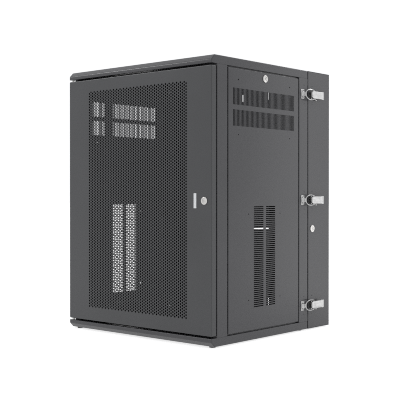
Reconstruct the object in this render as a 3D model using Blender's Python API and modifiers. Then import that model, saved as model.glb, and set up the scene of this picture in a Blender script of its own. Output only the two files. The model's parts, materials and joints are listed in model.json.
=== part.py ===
"""A swing-out wall-mount network cabinet, 18 rack units tall, as separate parts.

Metres, +Z up. The front faces -Y, the wall is behind the rear section at +Y, and the
cabinet stands on four pads at z = 0. Depths are measured back from the front plane and
heights up from the underside of the sheet-metal body: back() and up() turn them into
world coordinates. At rest the doors, covers and latches are shut and the locks are open.
"""
import math

import bmesh
import bpy
from mathutils import Matrix, Vector

# ---- driving dimensions -------------------------------------------------------------
WIDTH = 0.640
DEPTH = 0.628
HEIGHT = 0.870
PAD_H = 0.004                   # rubber pads lift the body off the floor
MAIN_DEPTH = 0.4985             # the swinging main section
SEAM = 0.003                    # groove between the main section and the wall section
SHEET = 0.002                   # folded steel
GAP = 0.0003                    # between pieces that rest on each other
HALF = WIDTH / 2

CAP_H = 0.026                   # top cap and bottom pan bands
CHAMFER = 0.0145                # sloping front edge of both bands
DOOR_GAP = 0.006                # between the door and the bands
DOOR_T = 0.020
DOOR_CORNER = 0.004
LIP = 0.0194                    # folded lips of posts and wall sides
POST_FRONT = (0.0255, 0.074)    # depths of the front post's outer face
POST_REAR = (0.448, MAIN_DEPTH)
LANDING_IN = 0.010              # how far the ledges behind the side panels are set in
LANDING = 0.018                 # width of those ledges
PANEL_Y = (0.078, 0.444)
PANEL_Z = (0.031, 0.839)
PANEL_T = 0.0077                # folded edge of a side panel

RAIL_INNER = 0.226              # half the clear width between rack rails
RAIL_FACE = 0.0205              # width of the face with the square holes
RAIL_SIDE = 0.034
RAIL_FRONT_Y = 0.094
RAIL_REAR_Y = 0.414
RAIL_Z = (0.030, 0.840)
BRACE_Z = (0.060, 0.797)
BRACE_H = 0.012                 # half height of a brace's web

HINGE_X = 0.312                 # front door pivots, left
HINGE_Y = 0.010
PIN_R = 0.004
SWING_X = -HALF - 0.006         # axis of the main section, just outside the left face
SWING_Y = 0.500
KNUCKLE_R = 0.0055
SWING_PIN_R = 0.003
SWING_Z = (0.120, 0.750)

LOCK_R = 0.012                  # lock head
LOCK_BODY_R = 0.0095
PLUG_R = 0.0062
HEAD_T = 0.0025
CAM_T = 0.002
CAM_W = 0.015
DOOR_LOCK = (0.2916, 0.435)     # x and height
PANEL_LOCK = (0.261, 0.820)     # depth and height
WALL_LOCK = (0.525, 0.338)

LATCH_Z = {"top": 0.790, "middle": 0.435, "bottom": 0.081}
LEVER_AXIS = (HALF + 0.0085, 0.5085)
BAIL_AXIS = (HALF + 0.0108, 0.521)
WIRE_R = 0.00175
BAIL_FRONT = 0.4717
BAIL_HALF = 0.0172              # at its widest
BAIL_REAR_HALF = 0.0150
BAIL_STUB = 0.0098              # where the wire ends inside the lever
LATCH_SHEET = 0.0015
LEVER_HALF = 0.0123
LEVER_END = 0.575
EAR_HALF = 0.0103               # outer faces of the base's ears
BASE_Y = (0.5035, 0.5460)       # the base plate under the lever
TONGUE_HALF = 0.0088            # the lever's narrower front
HOOK_HALF = 0.0070
KEEPER_Y = (0.459, 0.476)
KEEPER_HALF = 0.0160
SPARE_HOLE_R = 0.0016           # spare screw holes above and below each latch
SPARE_HOLE_DZ = 0.030
POST_HOLE_Y = 0.477
WALL_HOLE_Y = 0.524

PAD_R = 0.010
PAD_X = 0.298
PAD_Y = (0.030, 0.475)
PORT = (0.110, 0.535, 0.600)    # cable ports: half width, front and back depth
SLOT_X = 0.061                  # wall bolt slots
SLOT_Z = (0.061, 0.815)
SLOT_SIZE = (0.007, 0.026)
SLIT = (0.100, 0.328, 0.0055)   # cable-tie slit: half width, height, opening

PARTS = "network_rack_cabinet"
TOOLS = "cutters"


def back(depth):
    """World y of a depth behind the front plane."""
    return depth - DEPTH / 2


def up(height):
    """World z of a height above the underside of the body."""
    return height + PAD_H


# ---- scene and materials ------------------------------------------------------------
def start():
    for old in list(bpy.data.objects):
        bpy.data.objects.remove(old, do_unlink=True)
    for name in (PARTS, TOOLS):
        group = bpy.data.collections.get(name) or bpy.data.collections.new(name)
        if name not in bpy.context.scene.collection.children:
            bpy.context.scene.collection.children.link(group)


def material(name, colour, rough, metal):
    mat = bpy.data.materials.get(name) or bpy.data.materials.new(name)
    mat.use_nodes = True
    shader = mat.node_tree.nodes["Principled BSDF"]
    shader.inputs["Base Color"].default_value = (*colour, 1.0)
    shader.inputs["Roughness"].default_value = rough
    shader.inputs["Metallic"].default_value = metal
    return mat


FINISHES = {
    "paint": ((0.052, 0.052, 0.054), 0.42, 0.0),
    "door_paint": ((0.050, 0.050, 0.052), 0.40, 0.0),
    "zinc": ((0.62, 0.62, 0.61), 0.32, 1.0),
    "bright_steel": ((0.80, 0.80, 0.79), 0.22, 1.0),
    "nickel": ((0.74, 0.73, 0.70), 0.20, 1.0),
    "rubber": ((0.02, 0.02, 0.02), 0.75, 0.0),
    "badge": ((0.55, 0.56, 0.57), 0.35, 0.6),
}


def place(obj, finish):
    """Put an object in the parts collection with a material of its own, or in the cutters."""
    if finish is None:
        bpy.data.collections[TOOLS].objects.link(obj)
        obj.hide_render = True
        obj.display_type = "WIRE"
        return obj
    bpy.data.collections[PARTS].objects.link(obj)
    obj.data.materials.append(material(obj.name, *FINISHES[finish]))
    return obj


def from_bmesh(name, bm, at, finish):
    mesh = bpy.data.meshes.new(name)
    bm.to_mesh(mesh)
    bm.free()
    obj = bpy.data.objects.new(name, mesh)
    obj.location = at
    return place(obj, finish)


# ---- basic shapes -------------------------------------------------------------------
def cube_mesh(size):
    bm = bmesh.new()
    bmesh.ops.create_cube(bm, size=1.0)
    bmesh.ops.scale(bm, vec=size, verts=bm.verts)
    return bm


def block(name, x, y, z, finish=None):
    """A box between two world x, two depths and two heights."""
    low = Vector((x[0], back(y[0]), up(z[0])))
    high = Vector((x[1], back(y[1]), up(z[1])))
    return from_bmesh(name, cube_mesh(high - low), (low + high) / 2, finish)


def cylinder(name, radius, length, axis, centre, sides=24, finish=None):
    """A cylinder along an axis letter, centred at (x, depth, height)."""
    bm = bmesh.new()
    bmesh.ops.create_cone(bm, cap_ends=True, cap_tris=False, segments=sides,
                          radius1=radius, radius2=radius, depth=length)
    turn = {"X": Matrix.Rotation(math.pi / 2, 3, "Y"),
            "Y": Matrix.Rotation(math.pi / 2, 3, "X"),
            "Z": Matrix.Identity(3)}[axis]
    bmesh.ops.rotate(bm, matrix=turn, verts=bm.verts)
    obj = from_bmesh(name, bm, (centre[0], back(centre[1]), up(centre[2])), finish)
    smooth(obj)
    return obj


def smooth(obj):
    obj.data.shade_smooth()
    obj.data.set_sharp_from_angle(angle=math.radians(35))


def folded(name, path, axis, span, finish=None, thick=SHEET):
    """Sheet metal bent along a path and drawn straight along one axis.

    The path holds world (x, depth) for a piece along Z and (x, height) along Y."""
    bm = bmesh.new()
    if axis == "Z":
        verts = [bm.verts.new((x, back(y), up(span[0]))) for x, y in path]
        run = Vector((0, 0, span[1] - span[0]))
    else:
        verts = [bm.verts.new((x, back(span[0]), up(z))) for x, z in path]
        run = Vector((0, span[1] - span[0], 0))
    edges = [bm.edges.new(pair) for pair in zip(verts, verts[1:])]
    drawn = bmesh.ops.extrude_edge_only(bm, edges=edges)["geom"]
    bmesh.ops.translate(bm, vec=run, verts=[v for v in drawn if isinstance(v, bmesh.types.BMVert)])
    middle = sum((v.co for v in bm.verts), Vector()) / len(bm.verts)
    bmesh.ops.translate(bm, vec=-middle, verts=bm.verts)
    obj = from_bmesh(name, bm, middle, finish)
    skin = obj.modifiers.new("sheet", "SOLIDIFY")
    skin.thickness = thick
    skin.offset = 0.0
    skin.use_even_offset = True
    return obj


def turned(name, profile, outward, at, finish, sides=32):
    """A body of revolution whose profile (radius, height) runs down its outer side.

    The axis points along outward from the (x, depth, height) point at."""
    bm = bmesh.new()
    verts = [bm.verts.new((r, 0, h)) for r, h in profile]
    closed = profile[0][0] > 0
    pairs = list(zip(verts, verts[1:] + verts[:1])) if closed else list(zip(verts, verts[1:]))
    for pair in pairs:
        bm.edges.new(pair)
    obj = from_bmesh(name, bm, (at[0], back(at[1]), up(at[2])), finish)
    obj.rotation_euler = Vector(outward).to_track_quat("Z", "Y").to_euler()
    spin = obj.modifiers.new("turn", "SCREW")
    spin.axis = "Z"
    spin.steps = sides
    spin.render_steps = sides
    spin.use_merge_vertices = True
    spin.merge_threshold = 0.00001
    spin.use_smooth_shade = False
    return obj


def boolean(obj, tools, operation):
    for tool in tools:
        step = obj.modifiers.new(tool.name, "BOOLEAN")
        step.operation = operation
        step.solver = "EXACT"
        step.object = tool
    return obj


def cut(obj, *tools):
    return boolean(obj, tools, "DIFFERENCE")


def join(obj, *tools):
    return boolean(obj, tools, "UNION")


def bevel_edges(bm, chosen, width, segments):
    bmesh.ops.bevel(bm, geom=chosen, offset=width, segments=segments, affect="EDGES",
                    profile=0.5, clamp_overlap=True)


def pivot(name, x, depth, height, parent=None):
    """An empty on a joint's axis; the pieces of one moving body are parented to it."""
    empty = bpy.data.objects.new(name, None)
    empty.empty_display_size = 0.03
    bpy.data.collections[PARTS].objects.link(empty)
    spot = Vector((x, back(depth), up(height)))
    empty.location = spot
    empty["spot"] = spot
    if parent:
        carry(parent, empty)
    return empty


def carry(empty, *pieces):
    for piece in pieces:
        piece.parent = empty
        piece.matrix_parent_inverse = Matrix.Translation(-Vector(empty["spot"]))


# ---- main section: top cap, bottom pan, posts, rails, braces, pads ---------------------
def banded_shell(name, bottom):
    """The top cap, or with bottom=True the bottom pan: a tray whose edges fold inwards."""
    z = (0.0, CAP_H) if bottom else (HEIGHT - CAP_H, HEIGHT)
    inner_z = (z[0] + SHEET, z[1] - SHEET)
    shell = wedge(name, HALF, (0.0, MAIN_DEPTH), z, CHAMFER, bottom, "paint")
    inner_chamfer = CHAMFER - SHEET * (2 - math.sqrt(2))
    hollow = wedge(name + "_hollow", HALF - SHEET, (SHEET, MAIN_DEPTH - SHEET), inner_z,
                   inner_chamfer, bottom, None)
    mouth_z = (z[1] - 2 * SHEET, z[1] + SHEET) if bottom else (z[0] - SHEET, z[0] + 2 * SHEET)
    mouth = block(name + "_mouth", (-HALF + LANDING_IN, HALF - LANDING_IN),
                  (0.0225, MAIN_DEPTH - 0.020), mouth_z)
    cut(shell, hollow, mouth)
    ledge_y = (POST_FRONT[1] + LANDING + GAP, POST_REAR[0] - LANDING - GAP)
    drop = 0.014
    ledge_z = (z[1] - SHEET, z[1] + drop) if bottom else (z[0] - drop, z[0] + SHEET)
    for side, sign in (("left", -1), ("right", 1)):
        x = sorted((sign * (HALF - LANDING_IN), sign * (HALF - LANDING_IN + SHEET)))
        join(shell, block(name + "_ledge_" + side, x, ledge_y, ledge_z))
    return shell


def wedge(name, half, y, z, chamfer, bottom, finish):
    """A box with its outer front edge sloped off."""
    size = Vector((2 * half, y[1] - y[0], z[1] - z[0]))
    bm = cube_mesh(size)
    level = -size.z / 2 if bottom else size.z / 2
    front = [e for e in bm.edges if all(abs(v.co.z - level) < 1e-6 and v.co.y < 0 for v in e.verts)]
    bevel_edges(bm, front, chamfer, 1)
    at = (0, back((y[0] + y[1]) / 2), up((z[0] + z[1]) / 2))
    return from_bmesh(name, bm, at, finish)


def post(name, sign, front):
    """A corner post: a lip, the outer face, and a ledge that the side panel closes on."""
    half_sheet = SHEET / 2
    face = HALF - half_sheet
    ledge = HALF - LANDING_IN + half_sheet
    lip = HALF - LIP
    if front:
        lip_y, edge_y = POST_FRONT[0] + half_sheet, POST_FRONT[1] - half_sheet
        end_y = POST_FRONT[1] + LANDING
    else:
        lip_y, edge_y = POST_REAR[1] - half_sheet, POST_REAR[0] + half_sheet
        end_y = POST_REAR[0] - LANDING
    path = [(lip, lip_y), (face, lip_y), (face, edge_y), (ledge, edge_y), (ledge, end_y)]
    span = (CAP_H + GAP, HEIGHT - CAP_H - GAP)
    return folded(name, [(sign * x, y) for x, y in path], "Z", span, "paint")


def add_strike(rear_post):
    """The tab on the rear right post that the wall lock's cam holds."""
    z = (0.300, 0.322)
    tab_x = (0.2965, 0.2985)
    lip_y = (MAIN_DEPTH - SHEET, MAIN_DEPTH)
    foot = block("strike_foot", (tab_x[0], HALF - LIP + SHEET), lip_y, z)
    tab = block("strike_tab", tab_x, (lip_y[0], 0.535), z)
    stop = block("strike_stop", (0.288, tab_x[1]), (0.5335, 0.535), z)
    join(rear_post, foot, tab, stop)


def rack_rail(name, sign, front):
    """A vertical angle whose face takes the cage nuts."""
    half_sheet = SHEET / 2
    outer = RAIL_INNER + RAIL_FACE
    face_y = RAIL_FRONT_Y + half_sheet if front else RAIL_REAR_Y - half_sheet
    end_y = face_y + RAIL_SIDE if front else face_y - RAIL_SIDE
    path = [(RAIL_INNER, face_y), (outer, face_y), (outer, end_y)]
    return folded(name, [(sign * x, y) for x, y in path], "Z", RAIL_Z, "paint")


def brace(name, sign, height):
    """A shelf-shaped brace from post to post that the rack rails bolt to."""
    web = HALF - LANDING_IN - GAP - SHEET / 2
    lip = RAIL_INNER + RAIL_FACE + SHEET / 2 + 0.0015
    top = height + BRACE_H
    path = [(web, height - BRACE_H), (web, top), (lip, top), (lip, top - 0.014)]
    span = (PANEL_Y[0] - 0.002, PANEL_Y[1] + 0.002)
    return folded(name, [(sign * x, z) for x, z in path], "Y", span, "paint")


def build_main_section():
    axis = pivot("main_section_axis", SWING_X, SWING_Y, 0.0)
    pieces = [banded_shell("top_cap", False), banded_shell("bottom_pan", True)]
    for side, sign in (("left", -1), ("right", 1)):
        pieces.append(post(f"front_{side}_post", sign, True))
        pieces.append(post(f"rear_{side}_post", sign, False))
        pieces.append(rack_rail(f"front_{side}_rack_rail", sign, True))
        pieces.append(rack_rail(f"rear_{side}_rack_rail", sign, False))
        for level, height in zip(("lower", "upper"), BRACE_Z):
            pieces.append(brace(f"{level}_{side}_brace", sign, height))
        for end, depth in zip(("front", "rear"), PAD_Y):
            centre = (sign * PAD_X, depth, -PAD_H / 2 - GAP / 2)
            pieces.append(cylinder(f"{end}_{side}_pad", PAD_R, PAD_H - GAP, "Z", centre, 24, "rubber"))
    add_strike(bpy.data.objects["rear_right_post"])
    for end, low, high in door_pin_spans():
        centre = (-HINGE_X, HINGE_Y, (low + high) / 2)
        pieces.append(cylinder(f"door_hinge_pin_{end}", PIN_R, high - low, "Z", centre, 20, "zinc"))
    carry(axis, *pieces)
    return axis


def door_pin_spans():
    """Heights of the two door pins, from the band's flange into the door's folded edge."""
    reach = DOOR_GAP + 0.014
    return (("bottom", CAP_H + GAP, CAP_H + reach),
            ("top", HEIGHT - CAP_H - reach, HEIGHT - CAP_H - GAP))


# ---- trays: the front door and the side panels ----------------------------------------
def tray(name, size, open_side, corner, finish):
    """A folded sheet cover: an open box with rounded corners, thickened inwards.

    size is (x, y, z); open_side is the outward direction of the side left open."""
    bm = cube_mesh(size)
    out = Vector(open_side)
    bmesh.ops.delete(bm, geom=[f for f in bm.faces if f.normal.dot(out) > 0.9], context="FACES")
    corners = [e for e in bm.edges
               if abs((e.verts[0].co - e.verts[1].co).normalized().dot(out)) > 0.9]
    bevel_edges(bm, corners, corner, 3)
    rim = [e for e in bm.edges if len(e.link_faces) == 2
           and any(f.normal.dot(out) < -0.9 for f in e.link_faces)]
    bevel_edges(bm, rim, 0.0012, 2)
    obj = from_bmesh(name, bm, (0, 0, 0), finish)
    skin = obj.modifiers.new("sheet", "SOLIDIFY")
    skin.thickness = SHEET / 2
    skin.offset = -1.0
    skin.use_even_offset = True
    smooth(obj)
    return obj


def build_front_door(main_axis):
    axis = pivot("front_door_axis", -HINGE_X, HINGE_Y, 0.0, main_axis)
    z = (CAP_H + DOOR_GAP, HEIGHT - CAP_H - DOOR_GAP)
    door = tray("front_door", Vector((WIDTH, DOOR_T, z[1] - z[0])), (0, 1, 0), DOOR_CORNER, "door_paint")
    door.location = (0, back(DOOR_T / 2), up((z[0] + z[1]) / 2))
    x, height = DOOR_LOCK
    hole = cylinder("door_lock_hole", LOCK_BODY_R + GAP, 0.010, "Y", (x, 0.0, height))
    cut(door, hole)
    for end, low, high in door_pin_spans():
        pin_hole = cylinder(f"door_pin_hole_{end}", PIN_R + 0.0005, high - low + 0.004, "Z",
                            (-HINGE_X, HINGE_Y, (low + high) / 2))
        cut(door, pin_hole)
    badge = block("badge_plate", (0.250, 0.261), (-0.0015, -GAP), (0.4125, 0.4575), "badge")
    carry(axis, door, badge)
    build_lock("door_lock", axis, at=(x, 0.0, height), outward=(0, -1, 0), depth=0.0235,
               arm=(0, 0, -1), reach=0.024, shank=0.0062)


def build_side_panel(side, sign, main_axis):
    mid = [(a + b) / 2 for a, b in (PANEL_Y, PANEL_Z)]
    axis = pivot(f"{side}_panel_axis", sign * HALF, mid[0], mid[1], main_axis)
    size = Vector((PANEL_T, PANEL_Y[1] - PANEL_Y[0], PANEL_Z[1] - PANEL_Z[0]))
    panel = tray(f"{side}_side_panel", size, (-sign, 0, 0), 0.0015, "paint")
    panel.location = (sign * (HALF - PANEL_T / 2), back(mid[0]), up(mid[1]))
    depth, height = PANEL_LOCK
    cut(panel, cylinder(f"{side}_panel_lock_hole", LOCK_BODY_R + GAP, 0.010, "X",
                        (sign * HALF, depth, height)))
    carry(axis, panel)
    build_lock(f"{side}_panel_lock", axis, at=(sign * HALF, depth, height), outward=(sign, 0, 0),
               depth=0.0102, arm=(0, 1, 0), reach=0.020)


# ---- cam locks ------------------------------------------------------------------------
def build_lock(name, parent, at, outward, depth, arm, reach, shank=0.0007):
    """A cam lock: a flanged housing in the sheet, a keyed plug, and a cam on its inner end.

    shank is how far the plug comes out behind the housing."""
    axis = pivot(name + "_axis", *at, parent)
    bore = PLUG_R + GAP
    housing = turned(name + "_housing", [
        (bore, HEAD_T), (LOCK_R - 0.0008, HEAD_T), (LOCK_R, HEAD_T - 0.0008), (LOCK_R, GAP),
        (LOCK_BODY_R, GAP), (LOCK_BODY_R, -depth), (bore, -depth)], outward, at, "nickel")
    end = -depth - shank
    plug = turned(name + "_plug", [
        (0, HEAD_T - 0.0005), (PLUG_R, HEAD_T - 0.0005), (PLUG_R, end), (0, end)],
        outward, at, "nickel", 24)
    key = from_bmesh(name + "_keyway", cube_mesh((0.0014, 0.0075, 0.012)), (0, 0, 0), None)
    key.location = world_point(at) + Vector(outward) * HEAD_T
    key.rotation_euler = plug.rotation_euler
    cut(plug, key)
    inner = end - GAP - CAM_T / 2
    cam = lock_cam(name + "_cam", world_point(at) + Vector(outward) * inner, outward, arm, reach)
    carry(axis, plug, cam)
    if parent:
        carry(parent, housing)
    return housing


def world_point(at):
    return Vector((at[0], back(at[1]), up(at[2])))


def lock_cam(name, spot, outward, arm, reach):
    """A flat cam: a round hub with a straight arm that points along arm."""
    across = Vector(outward)
    along = Vector(arm)
    width = across.cross(along)
    frame = Matrix((along, width, across)).transposed()
    hub = bmesh.new()
    bmesh.ops.create_cone(hub, cap_ends=True, segments=24, radius1=CAM_W / 2, radius2=CAM_W / 2,
                          depth=CAM_T)
    bmesh.ops.rotate(hub, matrix=frame, verts=hub.verts)
    cam = from_bmesh(name, hub, spot, "zinc")
    bar = cube_mesh((reach, CAM_W * 0.8, CAM_T))
    bmesh.ops.translate(bar, vec=(reach / 2, 0, 0), verts=bar.verts)
    bmesh.ops.rotate(bar, matrix=frame, verts=bar.verts)
    return join(cam, from_bmesh(name + "_arm", bar, spot, None))


# ---- wall section ---------------------------------------------------------------------
def build_wall_section():
    front = MAIN_DEPTH + SEAM
    rear = DEPTH - SHEET - GAP
    half_sheet = SHEET / 2
    plate = block("wall_back_panel", (-HALF, HALF), (DEPTH - SHEET, DEPTH), (0, HEIGHT), "paint")
    for row, height in zip(("lower", "upper"), SLOT_Z):
        for side, sign in (("left", -1), ("right", 1)):
            x, z = SLOT_SIZE[0] / 2, SLOT_SIZE[1] / 2
            hole = block(f"wall_slot_{row}_{side}", (sign * SLOT_X - x, sign * SLOT_X + x),
                         (DEPTH - 0.010, DEPTH + 0.010), (height - z, height + z))
            cut(plate, hole)
    half, height, gap = SLIT
    cut(plate, block("cable_slit", (-half, half), (DEPTH - 0.010, DEPTH + 0.010),
                     (height - gap / 2, height + gap / 2)))
    for side, sign in (("left", -1), ("right", 1)):
        lip = HALF - 0.018
        face = HALF - half_sheet
        path = [(lip, front + half_sheet), (face, front + half_sheet),
                (face, rear - half_sheet), (lip, rear - half_sheet)]
        wall = folded(f"wall_{side}_side", [(sign * x, y) for x, y in path], "Z",
                      (SHEET + GAP, HEIGHT - SHEET - GAP), "paint")
        if sign > 0:
            cut(wall, cylinder("wall_lock_hole", LOCK_BODY_R + GAP, 0.010, "X", (HALF, *WALL_LOCK)))
    for name, z, lip_z in (("wall_top", (HEIGHT - SHEET, HEIGHT), (HEIGHT - 0.022, HEIGHT - SHEET / 2)),
                           ("wall_bottom", (0, SHEET), (SHEET / 2, 0.022))):
        lid = block(name, (-HALF, HALF), (front, rear), z, "paint")
        for end, y in (("front", (front, front + SHEET)), ("rear", (rear - SHEET, rear))):
            join(lid, block(f"{name}_{end}_lip", (-HALF + 0.0205, HALF - 0.0205), y, lip_z))
        cut(lid, block(name + "_port", (-PORT[0], PORT[0]), (PORT[1], PORT[2]),
                       (z[0] - 0.01, z[1] + 0.01)))
    build_lock("wall_lock", None, at=(HALF, *WALL_LOCK), outward=(1, 0, 0), depth=0.0240,
               arm=(0, -1, 0), reach=0.022)


def build_swing_hinge(level, height, main_axis):
    """An outside hinge: one leaf on each section, interleaved knuckles and a headed pin."""
    near = KNUCKLE_R + GAP
    tall, mid = 0.030, 0.010
    plate_x = (-HALF - 0.0025, -HALF - GAP)
    main_leaf = block(f"swing_hinge_{level}_main_leaf", plate_x, (SWING_Y - 0.045, SWING_Y - near),
                      (height - tall, height + tall), "paint")
    tongue = block(main_leaf.name + "_tongue", plate_x, (SWING_Y - near - 0.001, SWING_Y),
                   (height - mid, height + mid))
    knuckle = cylinder(main_leaf.name + "_knuckle", KNUCKLE_R, 2 * mid, "Z",
                       (SWING_X, SWING_Y, height), 24)
    join(main_leaf, tongue, knuckle)
    wall_leaf = block(f"swing_hinge_{level}_wall_leaf", plate_x, (SWING_Y + near, SWING_Y + 0.045),
                      (height - tall, height + tall), "paint")
    for end, sign in (("low", -1), ("high", 1)):
        z = sorted((height + sign * (mid + GAP), height + sign * tall))
        strap = block(f"{wall_leaf.name}_{end}_tongue", plate_x, (SWING_Y, SWING_Y + near + 0.001), z)
        ring = cylinder(f"{wall_leaf.name}_{end}_knuckle", KNUCKLE_R, z[1] - z[0], "Z",
                        (SWING_X, SWING_Y, (z[0] + z[1]) / 2), 24)
        join(wall_leaf, strap, ring)
    for leaf in (main_leaf, wall_leaf):
        cut(leaf, cylinder(leaf.name + "_bore", SWING_PIN_R + GAP, 0.08, "Z",
                           (SWING_X, SWING_Y, height), 24))
    turned(f"swing_hinge_{level}_pin", [
        (0, tall + 0.0025), (0.0045, tall + 0.0025), (0.0045, tall + GAP), (SWING_PIN_R, tall + GAP),
        (SWING_PIN_R, -tall - 0.002), (0, -tall - 0.002)],
        (0, 0, 1), (SWING_X, SWING_Y, height), "zinc", 20)
    carry(main_axis, main_leaf)


# ---- draw latches ---------------------------------------------------------------------
def spare_holes(sheet, depth):
    """Round holes through a side face, above and below every latch."""
    for level, height in LATCH_Z.items():
        for end, sign in (("low", -1), ("high", 1)):
            spot = (HALF, depth, height + sign * SPARE_HOLE_DZ)
            cut(sheet, cylinder(f"{sheet.name}_{level}_{end}_hole", SPARE_HOLE_R, 0.010, "X", spot, 12))


def build_latch(level, height, main_axis):
    lever_axis = pivot(f"latch_{level}_lever_axis", *LEVER_AXIS, height)
    bail_axis = pivot(f"latch_{level}_bail_axis", *BAIL_AXIS, height, lever_axis)
    latch_base(f"latch_{level}_base", height)
    carry(lever_axis, latch_lever(f"latch_{level}_lever", height))
    carry(bail_axis, latch_bail(f"latch_{level}_bail", height))
    carry(main_axis, latch_keeper(f"latch_{level}_keeper", height))


def latch_base(name, height):
    """The plate on the wall section, with two ears and the lever's pin."""
    x, y = LEVER_AXIS
    plate_x = (HALF + GAP, HALF + GAP + LATCH_SHEET)
    base = block(name, plate_x, BASE_Y, (height - EAR_HALF, height + EAR_HALF), "bright_steel")
    for end, sign in (("low", -1), ("high", 1)):
        z = sorted((height + sign * (EAR_HALF - 0.0018), height + sign * EAR_HALF))
        join(base, block(f"{name}_{end}_ear", (plate_x[0], x + 0.0025), (y - 0.0045, y + 0.0045), z))
    return join(base, cylinder(name + "_pin", 0.0018, 2 * LEVER_HALF + 0.0035, "Z", (x, y, height), 16))


def latch_lever(name, height):
    """A channel-shaped lever with a narrower tongue in front of its pivot."""
    x, y = LEVER_AXIS
    low, top, side = x - 0.004, HALF + 0.01525, LEVER_HALF - LATCH_SHEET / 2
    path = [(low, height - side), (top, height - side), (top, height + side), (low, height + side)]
    lever = folded(name, path, "Y", (y - 0.0055, LEVER_END), "bright_steel", LATCH_SHEET)
    lid = HALF + 0.0140
    wall_front = block(name + "_front", (x - 0.010, lid), (y - 0.007, y - 0.0045),
                       (height - 0.020, height + 0.020))
    notches = [block(f"{name}_{end}_notch", (lid, HALF + 0.020), (y - 0.007, y + 0.0015),
                     sorted((height + sign * TONGUE_HALF, height + sign * 0.020)))
               for end, sign in (("low", -1), ("high", 1))]
    taper = block(name + "_taper", (-0.006, 0.006), (-0.030, 0.030), (height - 0.020, height + 0.020))
    taper.location.x = HALF + 0.0062
    taper.location.y = back(0.566)
    taper.rotation_euler.z = math.radians(-12)
    holes = [cylinder(f"{name}_{kind}_hole", WIRE_R + 0.00035, 0.05, "Z", (*spot, height), 16)
             for kind, spot in (("pivot", LEVER_AXIS), ("bail", BAIL_AXIS))]
    return cut(lever, wall_front, taper, *notches, *holes)


def latch_bail(name, height):
    """The wire loop that draws the keeper in: an oval whose ends turn into the lever's sides."""
    x, rear = BAIL_AXIS
    widest, steps, squareness = 0.502, 8, 2 / 2.3
    front_reach = widest - BAIL_FRONT - WIRE_R
    half = [(rear, BAIL_STUB), (rear, BAIL_REAR_HALF), (0.5115, 0.0166)]
    for i in range(steps + 1):
        angle = math.pi / 2 * i / steps
        half.append((widest - front_reach * math.sin(angle) ** squareness,
                     BAIL_HALF * max(math.cos(angle), 0.0) ** squareness))
    route = half + [(y, -z) for y, z in reversed(half[:-1])]
    line = bpy.data.curves.new(name, "CURVE")
    line.dimensions = "3D"
    line.bevel_depth = WIRE_R
    line.bevel_resolution = 2
    line.use_fill_caps = True
    spline = line.splines.new("POLY")
    spline.points.add(len(route) - 1)
    for point, (y, z) in zip(spline.points, route):
        point.co = (0, y - rear, z, 1)
    obj = bpy.data.objects.new(name, line)
    obj.location = (x, back(rear), up(height))
    return place(obj, "bright_steel")


def latch_keeper(name, height):
    """A plate with two screwed ears on the post, and a long low hook between them."""
    plate_x = (HALF + GAP, HALF + GAP + LATCH_SHEET)
    keeper = block(name, plate_x, KEEPER_Y, (height - KEEPER_HALF, height + KEEPER_HALF), "bright_steel")
    long_r, high_r, middle, steps = 0.0105, 0.0058, 0.4740, 10
    arc = [(HALF + 0.0013 + high_r * math.sin(math.pi * i / steps),
            middle - long_r * math.cos(math.pi * i / steps)) for i in range(steps + 1)]
    hook_z = (height - HOOK_HALF, height + HOOK_HALF)
    return join(keeper, folded(name + "_hook", arc, "Z", hook_z, None, LATCH_SHEET))


def main():
    start()
    main_axis = build_main_section()
    build_front_door(main_axis)
    for side, sign in (("left", -1), ("right", 1)):
        build_side_panel(side, sign, main_axis)
    build_wall_section()
    spare_holes(bpy.data.objects["rear_right_post"], POST_HOLE_Y)
    spare_holes(bpy.data.objects["wall_right_side"], WALL_HOLE_Y)
    for level, height in zip(("lower", "upper"), SWING_Z):
        build_swing_hinge(level, height, main_axis)
    for level, height in LATCH_Z.items():
        build_latch(level, height, main_axis)


main()
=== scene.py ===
"""A swing-out wall cabinet for network gear, finished for display.

Metres, +Z up, the front faces -Y, the wall is behind at +Y and the latches are on +X.
Depths are measured back from the front of the body and heights up from its underside:
back() and up() turn them into the frame's coordinates.
"""
import json
import math

import bmesh
import bpy
from mathutils import Matrix, Vector


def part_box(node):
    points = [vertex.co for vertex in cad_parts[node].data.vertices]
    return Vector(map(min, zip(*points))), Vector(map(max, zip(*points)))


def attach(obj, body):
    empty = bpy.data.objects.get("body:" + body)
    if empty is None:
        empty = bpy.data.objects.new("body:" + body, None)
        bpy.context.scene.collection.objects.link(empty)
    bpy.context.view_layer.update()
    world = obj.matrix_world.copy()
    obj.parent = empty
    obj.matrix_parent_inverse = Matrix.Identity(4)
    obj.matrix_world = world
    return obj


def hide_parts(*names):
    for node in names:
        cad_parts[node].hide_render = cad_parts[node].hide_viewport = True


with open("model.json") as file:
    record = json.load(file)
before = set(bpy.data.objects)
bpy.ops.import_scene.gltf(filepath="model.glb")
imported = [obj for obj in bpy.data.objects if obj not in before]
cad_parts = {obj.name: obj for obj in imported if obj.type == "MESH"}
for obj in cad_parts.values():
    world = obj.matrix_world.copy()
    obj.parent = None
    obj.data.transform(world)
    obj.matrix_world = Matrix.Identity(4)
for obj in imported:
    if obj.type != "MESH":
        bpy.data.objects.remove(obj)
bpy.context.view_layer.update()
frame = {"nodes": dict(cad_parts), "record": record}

# ---- datums read from the frame --------------------------------------------------------
PAN_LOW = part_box("bottom_pan")[0]
CAP_LOW, CAP_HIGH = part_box("top_cap")
DOOR_LOW, DOOR_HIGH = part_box("front_door")
HALF = CAP_HIGH.x
FRONT = CAP_LOW.y
SOLE = PAN_LOW.z                # underside of the body
BODY_OF = {node: body for body, nodes in frame["record"]["behaviour"]["bodies"].items()
           for node in nodes}

MICRO = 1e-6
SHEET = 0.001                   # covers and door
HEAVY = 0.002                   # rails
FINE_EASE = 0.0003              # rounding of cut edges
EASE = 0.0004
PAD_EASE = 0.0006
POST_FOLD = 0.0022              # outer radius of folds
CAP_FOLD = 0.0028

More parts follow.
